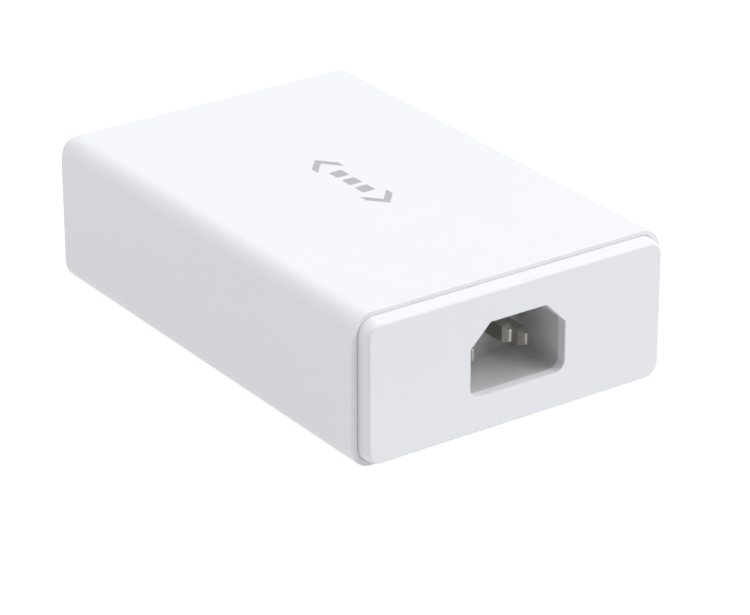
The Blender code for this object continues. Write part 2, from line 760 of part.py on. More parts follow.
def jack_housing(number, x):
    """The moulded insert: the plug's mouth with its latch notch, and a slot above for the contacts."""
    x, front, low = jack_frame(x)
    skin = SHIELD_SHEET + SHIELD_GAP
    half = SHIELD_SIZE[0] / 2 - skin
    back = front - SHIELD_SIZE[1] + skin
    high = low + SHIELD_SIZE[2] - skin
    body = boxes(f"jack_housing_{number}", [((x - half, back, low), (x + half, front, high))], "black_plastic")
    floor = low + MOUTH_LOW
    ceiling = floor + MOUTH_HEIGHT
    beyond = front + 1.0
    inner = front - MOUTH_DEPTH
    spaces = [
        (MOUTH_WIDTH, floor, ceiling, inner, beyond),
        (SLOT_WIDTH, ceiling - 0.5, ceiling + SLOT_RAISE, front - SLOT_DEPTH, front - 1.0),
    ]
    for width, depth in LATCH_NOTCHES:
        spaces.append((width, floor - depth, floor + 0.5, inner, beyond))
    for i, (width, bottom, top, start, end) in enumerate(spaces, start=1):
        span = ((x - width / 2, start, bottom), (x + width / 2, end, top))
        cut(body, boxes(f"jack_space_{number}_{i}", [span], "black_plastic"))


def contact_wires(number, x):
    """Eight sprung wires on one hinge line, sloping down into the mouth. The empty marks the hinge line."""
    x, front, low = jack_frame(x)
    hinge_at = (x, front - KNUCKLE_BEHIND_FACE, low + MOUTH_LOW + MOUTH_HEIGHT + KNUCKLE_ABOVE_CEILING)
    hinge = bpy.data.objects.new(f"contact_hinge_{number}", None)
    hinge.location = [value * METRES_PER_MM for value in hinge_at]
    bpy.context.scene.collection.objects.link(hinge)
    along = (-math.cos(CONTACT_SLOPE), -math.sin(CONTACT_SLOPE))
    across = (-along[1], along[0])
    half = CONTACT_THICKNESS / 2
    tip_round = half * 0.5
    outline = []
    knuckle_steps = 6
    for i in range(knuckle_steps + 1):
        angle = CONTACT_SLOPE + math.pi / 2 - math.pi * i / knuckle_steps
        outline.append((CONTACT_KNUCKLE * math.cos(angle), CONTACT_KNUCKLE * math.sin(angle)))
    for distance, side in (
        (CONTACT_KNUCKLE, half),
        (CONTACT_LENGTH - tip_round, half),
        (CONTACT_LENGTH, half - tip_round),
        (CONTACT_LENGTH, tip_round - half),
        (CONTACT_LENGTH - tip_round, -half),
        (CONTACT_KNUCKLE, -half),
    ):
        outline.append((along[0] * distance + across[0] * side, along[1] * distance + across[1] * side))
    for i in range(CONTACT_COUNT):
        centre = (i - (CONTACT_COUNT - 1) / 2) * CONTACT_PITCH
        bm = bmesh.new()
        ends = (centre - CONTACT_WIDTH / 2, centre + CONTACT_WIDTH / 2)
        add_loft(bm, [[(end, u, v) for u, v in outline] for end in ends])
        make(f"contact_wire_{number}_{i + 1}", bm, "contact_gold", hinge_at, hinge)


def status_lights():
    """A light pipe through the cap and, behind it, a round light on a holder on the board."""
    for number, x in enumerate((-LIGHT_AT, LIGHT_AT), start=1):
        pipe = [(LIGHT_PIPE_END, LIGHT_RADIUS), (FACE_Y - 0.3, LIGHT_RADIUS), (FACE_Y, LIGHT_RADIUS - 0.3)]
        turned(f"light_pipe_{number}", (x, LIGHT_Z), "Y", pipe, "clear_plastic", 16)
        tip = LIGHT_PIPE_END - GAP
        lamp = [(tip - LED_LENGTH, LIGHT_RADIUS), (tip - 0.6, LIGHT_RADIUS), (tip, LIGHT_RADIUS - 0.6)]
        led = turned(f"status_led_{number}", (x, LIGHT_Z), "Y", lamp, "clear_plastic", 16)
        holder_back = tip - LED_LENGTH + GAP
        low = (x - LED_HOLDER[0] / 2, holder_back, SEAT)
        high = (x + LED_HOLDER[0] / 2, holder_back + LED_HOLDER[1], LIGHT_Z)
        join(led, boxes(f"led_holder_{number}", [(low, high)], "clear_plastic"))


def network_parts():
    block("ethernet_magnetics", (0.0, 33.5), (17.0, 8.0, 6.5), "black_plastic")
    block("poe_controller", (-16.0, 32.0), (6.0, 5.0, 1.7), "black_plastic", 0.3)
    for number, x in enumerate((-JACK_AT, JACK_AT), start=1):
        jack_shield(number, x)
        jack_housing(number, x)
        contact_wires(number, x)
    status_lights()


def clear_scene():
    for old in list(bpy.data.objects):
        bpy.data.objects.remove(old, do_unlink=True)


def build():
    clear_scene()
    sleeve_housing()
    feet()
    inlet_end_cap()
    port_end_cap()
    inlet_shell()
    pins()
    main_board()
    insulation_sheet()
    power_parts()
    network_parts()


build()
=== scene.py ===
import json
import math

import bmesh
import bpy
from mathutils import Matrix, Quaternion, Vector


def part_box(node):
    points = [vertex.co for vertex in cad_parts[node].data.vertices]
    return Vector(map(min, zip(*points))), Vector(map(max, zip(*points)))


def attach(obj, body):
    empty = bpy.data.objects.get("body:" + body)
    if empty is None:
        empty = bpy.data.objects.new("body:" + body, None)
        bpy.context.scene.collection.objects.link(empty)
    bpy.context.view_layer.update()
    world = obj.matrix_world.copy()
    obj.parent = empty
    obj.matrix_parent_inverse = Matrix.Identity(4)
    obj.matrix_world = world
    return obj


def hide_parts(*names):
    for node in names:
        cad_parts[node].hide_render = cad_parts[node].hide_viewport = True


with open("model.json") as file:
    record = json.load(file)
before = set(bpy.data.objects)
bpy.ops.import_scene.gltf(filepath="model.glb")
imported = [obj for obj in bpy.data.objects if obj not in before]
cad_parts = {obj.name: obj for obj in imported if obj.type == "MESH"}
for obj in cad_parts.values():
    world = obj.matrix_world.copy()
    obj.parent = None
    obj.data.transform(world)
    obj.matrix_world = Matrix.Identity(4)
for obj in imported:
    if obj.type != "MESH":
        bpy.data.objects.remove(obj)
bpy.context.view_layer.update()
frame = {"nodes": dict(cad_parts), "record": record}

MM = 0.001


def box_mm(node):
    """The lowest and highest corners of a CAD node, in millimetres."""
    low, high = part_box(node)
    return low / MM, high / MM


# Making
SHARP_ANGLE = 32.0  # degrees between two faces, above which their edge stays sharp
OVERCUT = 1.0  # how far a cutting tool reaches past what it cuts

BODY_LOW, BODY_HIGH = box_mm("sleeve_housing")
BOARD_LOW, BOARD_HIGH = box_mm("main_board")
INLET_LOW, INLET_HIGH = box_mm("inlet_shell")

# Shell
HALF_WIDTH = BODY_HIGH.x
BOTTOM_Z = BODY_LOW.z
TOP_Z = BODY_HIGH.z
RIM_Y = BODY_HIGH.y
FACE_Y = box_mm("port_end_cap")[1].y
CORNER_RADIUS = 5.1
CORNER_STEPS = 20
SMALLEST_CORNER = 0.8
RIM_ROUND = 0.2
ROUND_STEPS = 8
SMALLEST_ROUND = 0.02
WALL = 2.2
MOUTH_INSET = (1.5, 1.0)  # sides, top and bottom: from the outer skin to the edge of the mouth
REBATE_DEPTH = 3.0
FOOT_RECESS = 0.8
POCKET_SPAN = (6.0, 8.5)
POCKET_DEPTHS = (1.3, 3.2)
POCKET_HALF_WIDTH = 4.1
RAIL_DEPTH = 2.0
RAIL_HEIGHT = 1.2
RAIL_HALF_LENGTH = 50.0
FOOT_DISH = 0.2
FOOT_DISH_AT = (0.1, 0.5, 0.6)  # shares of the foot's radius
FOOT_EDGE = 0.5
GAP = 0.3

# End caps
CAP_PLATE = 2.4
CAP_BASE_INSET = (1.62, 1.12)
CAP_CORNER_INSET = (2.05, 1.65)  # where the bevel would meet the face without its round edge
CAP_SKIRT_INSET = (3.8, 3.6)
CAP_EDGE_ROUND = 0.6
CAP_DEPTH = 2.7
TONGUE_AT = 20.0
TONGUE_HALF_WIDTH = 3.8
TONGUE_LENGTH = 9.0
TONGUE_ROOT = 1.0
TONGUE_INSET = (2.5, 3.9)
BARB_INSET = 1.65
BARB_SPAN = (6.3, 8.2)
BARB_SINK = 0.4
BARB_SIDE = 0.5

# Mains inlet
INLET_WALL = 1.3
INLET_HALF_WIDTH = INLET_HIGH.x - INLET_WALL
INLET_HALF_HEIGHT = 8.275
INLET_CENTRE_Z = INLET_HIGH.z - INLET_WALL - INLET_HALF_HEIGHT
INLET_CHAMFER = 5.05
INLET_ROUND = 2.5
INLET_EDGE = 0.3
INLET_LIP = 0.1
INLET_OVERCUT = 0.5
INLET_STEP = 0.3  # how far the socket's walls stand back from the edge of the cap's opening
SOCKET_EDGE = 0.15
SOCKET_CORNER = 0.8
SOCKET_LEG_AT = 7.0
SOCKET_LEG_HALF_WIDTH = 3.0
SOCKET_LEG_DEPTH = 4.0
SOCKET_LEG_ROOT = 1.0
INLET_DRAFT = 0.15
INLET_BACK = INLET_HIGH.y - 2.2
PINS = ("line_pin", "neutral_pin", "earth_pin")
PIN_HEIGHT = 4.0
PIN_TIP = (0.7, 2.7)
PIN_TIP_LENGTH = 1.7
PIN_TIP_EDGE = 0.12
PIN_TIP_BEVEL = 0.1
PIN_EDGE = 0.2
PIN_SLOT_GAP = 0.1
PIN_TAIL_HALF_WIDTH = 0.7
PIN_TAIL_SPAN = (0.1, 1.4)  # from the blade's back end
PIN_SHARP = 14.0

# Network jacks and lights
PORT_LIP = 0.25
PORT_ROUND = 0.4
PORT_OVERCUT = 1.3
SHIELD_SHEET = 0.3
SHIELD_BEND = 0.6
SHIELD_EDGE = 0.05
SHIELD_SETBACK = 0.08
SPRING_SHEET = 0.16
SPRING_HEIGHTS = (1.6, 5.2)  # above the mouth's floor
SPRING_COURSE = (  # out from the mouth's side, out from the jack's front
    (0.5, 0.12),
    (0.1, 0.05),
    (-0.25, -0.4),
    (-0.75, -2.6),
    (-0.8, -3.4),
    (-0.3, -5.6),
)
INSERT_ROUND = 0.4
INSERT_EDGE = 0.2
MOUTH_WIDTH = 11.9
MOUTH_HEIGHT = 7.2
MOUTH_DEPTH = 13.5
MOUTH_LOW = 4.0
MOUTH_BEVEL = 0.35
MOUTH_ROUND = 0.15
LATCH_NOTCHES = ((6.2, 1.5), (3.4, 2.9))  # width, depth below the mouth
SLOT_WIDTH = 9.0
SLOT_SPAN = (1.0, 11.6)  # behind the jack's front
SLOT_HEIGHTS = (-0.5, 1.0)  # from the mouth's ceiling
PIPE_EDGE = 0.2
DOME_RISE = 0.6
DOME_STEPS = 8
DOME_END = 0.3  # of a step, between the last ring of a dome and its middle

# Power parts
COIL_STEPS = 20
CHOKE_STARTS = (25.0, 205.0)
CHOKE_ARC = 130.0
CHOKE_TURNS = 9
CHOKE_WIRE = 0.44
DRUM_WAIST = 1.3
DRUM_EDGE = 0.3
DRUM_FLANGE = 1.4
DRUM_WIRE = 0.4
CRIMP_AT = 2.0
CRIMP_WIDTH = 1.2
CRIMP_DEPTH = 0.5
CRIMP_STEPS = 8
CAN_FOOT_EDGE = 0.2
CAN_EDGE = 0.6
SLEEVE_LAP = 0.7
SLEEVE_THICKNESS = 0.25
LID_SINK = 0.5
LID_RISE = 0.15
LID_EDGE = 0.05
VENT_REACH = 0.75
VENT_WIDTH = 0.35
VENT_DEPTH = 0.2
DISC_STEPS = 14
LEAD_RADIUS = 0.3
LEAD_LEAN = 0.01  # add_tube() needs a path that isn't quite upright

# Printed mark
MARK_LENGTH = 29.0
MARK_WIDTH = 7.0
MARK_REACH = 4.0
MARK_STROKE = 2.4
MARK_CORNER = 0.35
MARK_DOT = 3.3
MARK_PITCH = 5.0
INK_THICKNESS = 0.012
INK_SINK = 0.05

# Patterns in the materials
TRACK_LENGTH = 7.0
TRACK_PITCH = 1.5
TRACK_GAP = 0.16
PAD_PITCH = 3.5
PAD_SHARE = 0.14
TAPE_PITCH = 2.6
TAPE_RELIEF = 0.05
PACKAGE_BODY = 0.6  # share of a power package's height below its bare tab
FUSE_ENDS = 0.27  # share of the fuse's length under each metal end
SLEEVE_STRIPE = 0.07  # share of a capacitor's width under the pale stripe at each side of it
WAVE_RADIANS = 20.0  # in a wave texture of scale 1, to the metre

# Colours that are used beside others in one material
TRACK_GREEN = (0.04, 0.27, 0.10)
TIN = (0.72, 0.72, 0.70)
TAB_METAL = (0.62, 0.63, 0.64)
FUSE_METAL = (0.66, 0.65, 0.60)
STRIPE_GREY = (0.5, 0.52, 0.55)

# Camera: where it stands round the object, how far off, and the point that it looks at
CAMERA_AZIMUTH = math.radians(-34.907)
CAMERA_ELEVATION = math.radians(25.006)
CAMERA_ROLL = math.radians(-0.049)
CAMERA_DISTANCE = 783.34
CAMERA_AIM = Vector((1.81, -6.18, 7.06))
CAMERA_LENS = 169.99

# Light. The floor and the surround look white to the camera, and light the object less than that.
SURROUND_LIGHT = 0.09
SURROUND_GLOW = 1.0
FLOOR_REACH = 0.6  # metres
FLOOR_SHADE = 0.35
FLOOR_LIGHT = 0.505
FLOOR_GLOW = 0.8
LAMP_DISTANCE = 2400.0
LAMP_SIZE = 1600.0
LAMPS = {
    "overhead": ((0.0, 0.0, 1.0), 27.8),
    "front": ((0.5, -1.0, 0.8), 22.0),
    "high_right": ((1.0, -0.5, 0.8), 22.0),
    "high_back": ((0.3, 1.0, 0.8), 10.8),
    "left": ((-1.0, 0.0, 0.25), 7.5),
    "back_left": ((-1.0, 0.7, 0.35), 13.0),
}


# ---- materials ----

def node(tree, kind, **settings):
    """A shader node with its properties and, through keys that start with in_, its inputs set."""
    made = tree.nodes.new(kind)
    for key, value in settings.items():
        if key.startswith("in_"):
            made.inputs[key[3:].replace("_", " ")].default_value = value
        else:
            setattr(made, key, value)
    return made


def surface(name, colour, roughness, metallic=0.0, mottle=0.03, patch=6.0, grain=0.3, relief=0.004,
            gloss_change=0.06, stretch=(1.0, 1.0, 1.0), specular=0.5):
    """A Principled material with mottled colour, uneven gloss and a fine grain. Sizes are millimetres."""
    made = bpy.data.materials.new(name)
    made.use_nodes = True
    tree = made.node_tree
    shader = tree.nodes["Principled BSDF"]
    shader.inputs["Metallic"].default_value = metallic
    shader.inputs["Specular IOR Level"].default_value = specular
    spot = node(tree, "ShaderNodeTexCoord")
    scaled = node(tree, "ShaderNodeMapping")
    scaled.inputs["Scale"].default_value = stretch
    tree.links.new(spot.outputs["Object"], scaled.inputs["Vector"])
    patches = node(tree, "ShaderNodeTexNoise", in_Scale=1 / (patch * MM), in_Detail=3.0)
    grains = node(tree, "ShaderNodeTexNoise", in_Scale=1 / (grain * MM), in_Detail=2.0)
    for noise in (patches, grains):
        tree.links.new(scaled.outputs["Vector"], noise.inputs["Vector"])
    colours = node(tree, "ShaderNodeMix", data_type="RGBA")
    colours.inputs["A"].default_value = (*[value * (1 - mottle) for value in colour], 1.0)
    colours.inputs["B"].default_value = (*[min(value * (1 + mottle), 1.0) for value in colour], 1.0)
    tree.links.new(patches.outputs["Fac"], colours.inputs["Factor"])
    tree.links.new(colours.outputs["Result"], shader.inputs["Base Color"])
    gloss = node(tree, "ShaderNodeMapRange")
    gloss.inputs["To Min"].default_value = roughness - gloss_change
    gloss.inputs["To Max"].default_value = roughness + gloss_change
    tree.links.new(grains.outputs["Fac"], gloss.inputs["Value"])
    tree.links.new(gloss.outputs["Result"], shader.inputs["Roughness"])
    bump = node(tree, "ShaderNodeBump", in_Distance=relief * MM)
    tree.links.new(grains.outputs["Fac"], bump.inputs["Height"])
    tree.links.new(bump.outputs["Normal"], shader.inputs["Normal"])
    return made


def overlay(made, mask, colour, metal=False):
    """Paints a colour over a material where a mask is 1, as bare metal if asked."""
    tree = made.node_tree
    shader = tree.nodes["Principled BSDF"]
    base = shader.inputs["Base Color"]
    painted = node(tree, "ShaderNodeMix", data_type="RGBA")
    painted.inputs["B"].default_value = (*colour, 1.0)
    tree.links.new(base.links[0].from_socket, painted.inputs["A"])
    tree.links.new(mask, painted.inputs["Factor"])
    tree.links.new(painted.outputs["Result"], base)
    if metal:
        tree.links.new(mask, shader.inputs["Metallic"])


def compared(tree, value, operation, limit):
    """The output of a Math node that sets a value against a limit."""
    made = node(tree, "ShaderNodeMath", operation=operation)
    made.inputs[1].default_value = limit
    tree.links.new(value, made.inputs[0])
    return made.outputs["Value"]


def place_along(tree, axis):
    """How far along its own box a point of a piece lies, from 0 to 1."""
    spot = node(tree, "ShaderNodeSeparateXYZ")
    tree.links.new(node(tree, "ShaderNodeTexCoord").outputs["Generated"], spot.inputs["Vector"])
    return spot.outputs[axis]


def ends_mask(made, axis, share):
    """1 within a share of a piece's length from either of its two ends along an axis, else 0."""
    tree = made.node_tree
    from_middle = compared(tree, place_along(tree, axis), "SUBTRACT", 0.5)
    distance = compared(tree, from_middle, "ABSOLUTE", 0.0)
    return compared(tree, distance, "GREATER_THAN", 0.5 - share)


def wound(made, axis, pitch, depth):
    """Adds the ridges of wound tape to a material's relief, one to each pitch along an axis."""
    tree = made.node_tree
    shader = tree.nodes["Principled BSDF"]
    wave = node(tree, "ShaderNodeTexWave", bands_direction=axis, in_Distortion=0.3)
    wave.inputs["Scale"].default_value = 2 * math.pi / (WAVE_RADIANS * pitch * MM)
    tree.links.new(node(tree, "ShaderNodeTexCoord").outputs["Object"], wave.inputs["Vector"])
    ridge = node(tree, "ShaderNodeBump", in_Distance=depth * MM)
    tree.links.new(wave.outputs["Fac"], ridge.inputs["Height"])
    tree.links.new(shader.inputs["Normal"].links[0].from_socket, ridge.inputs["Normal"])
    tree.links.new(ridge.outputs["Normal"], shader.inputs["Normal"])


def board_finish():
    """Green solder mask over copper tracks, with tinned pads."""
    made = surface("solder_mask", (0.02, 0.15, 0.06), 0.35, mottle=0.1, patch=9.0, grain=0.3)
    tree = made.node_tree
    spot = node(tree, "ShaderNodeTexCoord").outputs["Object"]
    tracks = node(
        tree,
        "ShaderNodeTexBrick",
        offset=0.37,
        offset_frequency=3,
        squash=1.7,
        squash_frequency=2,
        in_Scale=1 / MM,
        in_Brick_Width=TRACK_LENGTH,
        in_Row_Height=TRACK_PITCH,
        in_Mortar_Size=TRACK_GAP,
    )
    tree.links.new(spot, tracks.inputs["Vector"])
    overlay(made, tracks.outputs["Fac"], TRACK_GREEN)
    pads = node(tree, "ShaderNodeTexVoronoi", in_Scale=1 / (PAD_PITCH * MM), in_Randomness=0.8)
    tree.links.new(spot, pads.inputs["Vector"])
    overlay(made, compared(tree, pads.outputs["Distance"], "LESS_THAN", PAD_SHARE), TIN, metal=True)
    return made


HOUSING = surface("white_plastic", (0.857, 0.867, 0.906), 0.56, mottle=0.006, patch=18.0, grain=0.25,
                  relief=0.003, specular=0.2)
INLET = surface("inlet_plastic", (0.69, 0.69, 0.69), 0.45, mottle=0.05, patch=4.0, grain=0.2)
PIN = surface("pin_nickel", (0.44, 0.43, 0.40), 0.3, metallic=1.0, patch=2.0, grain=0.15, relief=0.001,
              gloss_change=0.04, stretch=(1.0, 0.1, 1.0))
INK = surface("grey_ink", (0.47, 0.48, 0.49), 0.5, patch=1.0, grain=0.12)
STEEL = surface("shield_steel_sheet", (0.66, 0.67, 0.68), 0.32, metallic=1.0, mottle=0.05, patch=3.0,
                grain=0.15, stretch=(1.0, 0.15, 1.0))
BLACK = surface("black_moulding", (0.03, 0.03, 0.032), 0.5, mottle=0.15, patch=3.0, grain=0.2)
CLEAR = surface("clear_moulding", (0.85, 0.88, 0.86), 0.18, mottle=0.02, patch=2.0)
RUBBER = surface("grey_rubber", (0.30, 0.30, 0.31), 0.75, mottle=0.08, patch=2.0, grain=0.25, relief=0.02)
FILM = surface("polyester_film", (0.78, 0.77, 0.71), 0.3, mottle=0.04, patch=12.0, grain=0.5)
EPOXY = surface("blue_epoxy_dip", (0.03, 0.11, 0.34), 0.28, mottle=0.15, patch=1.5, grain=0.4, relief=0.02)
YELLOW_CASE = surface("yellow_case", (0.70, 0.53, 0.05), 0.38, mottle=0.05, patch=4.0, grain=0.2)
FERRITE = surface("sintered_ferrite", (0.055, 0.055, 0.06), 0.6, mottle=0.3, patch=0.8, grain=0.12,
                  relief=0.02)
COPPER = surface("enamelled_copper", (0.50, 0.18, 0.06), 0.28, metallic=1.0, mottle=0.15, patch=1.5)
TAPE = surface("yellow_tape", (0.76, 0.62, 0.12), 0.3, mottle=0.08, patch=3.0)
wound(TAPE, "Z", TAPE_PITCH, TAPE_RELIEF)
ALUMINIUM = surface("brushed_aluminium", (0.70, 0.71, 0.73), 0.35, metallic=1.0, mottle=0.08, patch=1.2,
                    grain=0.2, relief=0.006, stretch=(0.08, 1.0, 1.0))
GOLD = surface("contact_gold_plate", (0.80, 0.56, 0.20), 0.22, metallic=1.0, mottle=0.06, patch=0.8,
               grain=0.1, relief=0.001, gloss_change=0.04)
SLEEVE = surface("capacitor_sleeve", (0.02, 0.025, 0.05), 0.25, mottle=0.12, patch=5.0, grain=0.4)
overlay(SLEEVE, ends_mask(SLEEVE, "X", SLEEVE_STRIPE), STRIPE_GREY)
GLASS = surface("fuse_glass", (0.66, 0.72, 0.70), 0.08, mottle=0.05, patch=2.0, gloss_change=0.03)
overlay(GLASS, ends_mask(GLASS, "Y", FUSE_ENDS), FUSE_METAL, metal=True)
PACKAGE = surface("package_moulding", (0.03, 0.03, 0.032), 0.5, mottle=0.15, patch=3.0, grain=0.2)
height = place_along(PACKAGE.node_tree, "Z")
overlay(PACKAGE, compared(PACKAGE.node_tree, height, "GREATER_THAN", PACKAGE_BODY), TAB_METAL, metal=True)

FINISHES = {
    "clear_plastic": CLEAR,
    "black_plastic": BLACK,
    "board_green": board_finish(),
    "film_white": FILM,
    "glass_fuse": GLASS,
    "blue_epoxy": EPOXY,
    "yellow_film": YELLOW_CASE,
    "ferrite": FERRITE,
    "copper_wire": COPPER,
    "yellow_tape": TAPE,
    "aluminium": ALUMINIUM,
    "capacitor_sleeve": SLEEVE,
    "contact_gold": GOLD,
}


# ---- making pieces ----

def new_piece(name, bm, finish, replaced=(), body="root"):
    """Turns millimetre points into a piece in metres, which rides on a body and stands for CAD nodes."""
    bmesh.ops.recalc_face_normals(bm, faces=bm.faces)
    mesh = bpy.data.meshes.new(name)
    bm.to_mesh(mesh)
    bm.free()
    mesh.transform(Matrix.Scale(MM, 4))
    mesh.materials.append(finish)
    piece = bpy.data.objects.new(name, mesh)
    bpy.context.scene.collection.objects.link(piece)
    smooth(piece)
    if replaced:
        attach(piece, body)
        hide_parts(*replaced)
    return piece


def finish_node(name, finish):
    """Gives a CAD node that stays as it is a finish in place of its plain material."""
    materials = frame["nodes"][name].data.materials
    for i in range(len(materials)):
        materials[i] = finish


def smooth(piece, sharp=SHARP_ANGLE):
    piece.data.shade_smooth()
    piece.data.set_sharp_from_angle(angle=math.radians(sharp))


def carve(piece, tool, operation="DIFFERENCE"):
    """Cuts a tool from a piece, or joins it on, and removes the tool."""
    step = piece.modifiers.new("carve", "BOOLEAN")
    step.operation = operation
    step.solver = "EXACT"
    step.object = tool
    graph = bpy.context.evaluated_depsgraph_get()
    carved = bpy.data.meshes.new_from_object(piece.evaluated_get(graph))
    piece.modifiers.clear()
    piece.data = carved
    bpy.data.objects.remove(tool)
    smooth(piece)


def settle_normals(piece):
    """Lets the large faces set the shading, so that flat stays flat beside a round edge."""
    step = piece.modifiers.new("normals", "WEIGHTED_NORMAL")
    step.keep_sharp = True


# ---- shapes ----

def add_loft(bm, loops, ring=False):
    """Skins loops that have equal point counts. A ring closes on itself; otherwise the ends are filled."""
    rows = [[bm.verts.new(point) for point in loop] for loop in loops]
    pairs = list(zip(rows, rows[1:]))
    if ring:
        pairs.append((rows[-1], rows[0]))
    else:
        bm.faces.new(rows[0])
        bm.faces.new(rows[-1])
    count = len(rows[0])
    for first, second in pairs:
        for i in range(count):
            j = (i + 1) % count
            bm.faces.new((first[i], first[j], second[j], second[i]))


def add_box(bm, low, high):
    x0, y0, z0 = low
    x1, y1, z1 = high
    add_loft(bm, [[(x0, y0, z), (x1, y0, z), (x1, y1, z), (x0, y1, z)] for z in (z0, z1)])


def box_tool(name, spans):
    """A throwaway object of boxes, to carve with."""
    bm = bmesh.new()
    for low, high in spans:
        add_box(bm, low, high)
    return new_piece(name, bm, HOUSING)


def place(axis, along, u, v):
    """A point from its distance along an axis and its two coordinates across it."""
    return {"X": (along, u, v), "Y": (u, along, v), "Z": (u, v, along)}[axis]


def outline_at(outline, axis, along):
    return [place(axis, along, u, v) for u, v in outline]


def rounded_outline(corners, radii, grow=0.0, steps=ROUND_STEPS):
    """A convex anticlockwise outline with round corners, grown outwards by a distance."""
    points = []
    for i, radius in enumerate(radii):
        here = Vector(corners[i])
        arrive = (here - Vector(corners[i - 1])).normalized()
        leave = (Vector(corners[(i + 1) % len(corners)]) - here).normalized()
        first = Vector((arrive.y, -arrive.x))
        last = Vector((leave.y, -leave.x))
        reach = max(radius + grow, SMALLEST_ROUND)
        centre = here + (grow - reach) * (first + last) / (1 + first.dot(last))
        start = math.atan2(first.y, first.x)
        turn = (math.atan2(last.y, last.x) - start) % (2 * math.pi)
        for step in range(steps + 1):
            angle = start + turn * step / steps
            points.append(tuple(centre + reach * Vector((math.cos(angle), math.sin(angle)))))
    return points


def rectangle(low, high, radius, grow=0.0, steps=ROUND_STEPS):
    corners = (low, (high[0], low[1]), high, (low[0], high[1]))
    return rounded_outline(corners, (radius,) * 4, grow, steps)


def circle(centre, radius, steps=48):
    turn = 2 * math.pi / steps
    angles = [turn * i for i in range(steps)]
    return [(centre[0] + radius * math.cos(angle), centre[1] + radius * math.sin(angle)) for angle in angles]


def quarter(radius, steps=ROUND_STEPS):
    """(inset, depth) pairs of a round edge, from the face that it starts on to the side that it ends on."""
    turns = [i / steps * math.pi / 2 for i in range(steps + 1)]
    return [(radius * (1 - math.sin(turn)), radius * (1 - math.cos(turn))) for turn in turns]


def housing_loop(inset, y):
    """The housing's outline, inset from the outer skin, at one place along its length."""
    side, top = inset
    radius = max(CORNER_RADIUS - (side + top) / 2, SMALLEST_CORNER)
    low = (side - HALF_WIDTH, BOTTOM_Z + top)
    high = (HALF_WIDTH - side, TOP_Z - top)
    return outline_at(rectangle(low, high, radius, steps=CORNER_STEPS), "Y", y)


# ---- housing ----

def rail_spans():
    """Two rails on each side wall, above and below the board's edge."""
    inner = HALF_WIDTH - WALL
    spans = []
    for low in (BOARD_LOW.z - GAP - RAIL_HEIGHT, BOARD_HIGH.z + GAP):
        for side in (-1, 1):
            near, far = sorted((side * (inner - RAIL_DEPTH), side * (inner + WALL / 2)))
            spans.append(((near, -RAIL_HALF_LENGTH, low), (far, RAIL_HALF_LENGTH, low + RAIL_HEIGHT)))
    return spans


def tongue_places(ends=(-1, 1)):
    """Each tongue as (end of the housing, place across it, skin that it lies under, way in from the skin)."""
    places = []
    for end in ends:
        for across in (-TONGUE_AT, TONGUE_AT):
            places += [(end, across, TOP_Z, -1), (end, across, BOTTOM_Z, 1)]
    return places


def tongue_box(tongue, half_width, insets, from_rim):
    """A box under one skin of the housing, between two depths below it and two distances from the rim."""
    end, across, skin, inward = tongue
    z = sorted(skin + inward * inset for inset in insets)
    y = sorted(end * (RIM_Y - distance) for distance in from_rim)
    return ((across - half_width, y[0], z[0]), (across + half_width, y[1], z[1]))


def foot_recesses():
    bm = bmesh.new()
    for number in range(1, 5):
        low, high = box_mm(f"foot_{number}")
        centre = (low + high) / 2
        outline = circle(centre, high.x - centre.x + GAP)
        add_loft(bm, [outline_at(outline, "Z", z) for z in (BOTTOM_Z - OVERCUT, BOTTOM_Z + FOOT_RECESS)])
    return new_piece("foot_recesses", bm, HOUSING)


def sleeve():
    """The tube: a round rim, a rebate for each cap, rails for the board and pockets for the caps' barbs."""
    rim = [(inset, RIM_Y - depth) for depth, inset in quarter(RIM_ROUND)]
    outside = [((inset, inset), -y) for inset, y in reversed(rim)]
    outside += [((inset, inset), y) for inset, y in rim]
    rebate_end = RIM_Y - REBATE_DEPTH
    inside = [
        (MOUTH_INSET, RIM_Y),
        (MOUTH_INSET, rebate_end),
        ((WALL, WALL), rebate_end),
        ((WALL, WALL), -rebate_end),
        (MOUTH_INSET, -rebate_end),
        (MOUTH_INSET, -RIM_Y),
    ]
    bm = bmesh.new()
    add_loft(bm, [housing_loop(inset, y) for inset, y in outside + inside], ring=True)
    piece = new_piece("sleeve", bm, HOUSING, ["sleeve_housing"])
    pockets = [tongue_box(t, POCKET_HALF_WIDTH, POCKET_DEPTHS, POCKET_SPAN) for t in tongue_places()]
    carve(piece, box_tool("rails", rail_spans()), "UNION")
    carve(piece, box_tool("pockets", pockets))
    carve(piece, foot_recesses())
    settle_normals(piece)


def feet():
    """Soft pads with a round edge and a shallow dish underneath."""
    for number in range(1, 5):
        low, high = box_mm(f"foot_{number}")
        centre = (low + high) / 2
        radius = high.x - centre.x
        heights = (FOOT_DISH, FOOT_DISH, 0.0)
        profile = [(height, radius * share) for height, share in zip(heights, FOOT_DISH_AT)]
        profile += [(depth, radius - inset) for inset, depth in quarter(FOOT_EDGE)]
        profile.append((high.z, radius))
        turned(f"foot_pad_{number}", centre, "Z", profile, RUBBER, [f"foot_{number}"])


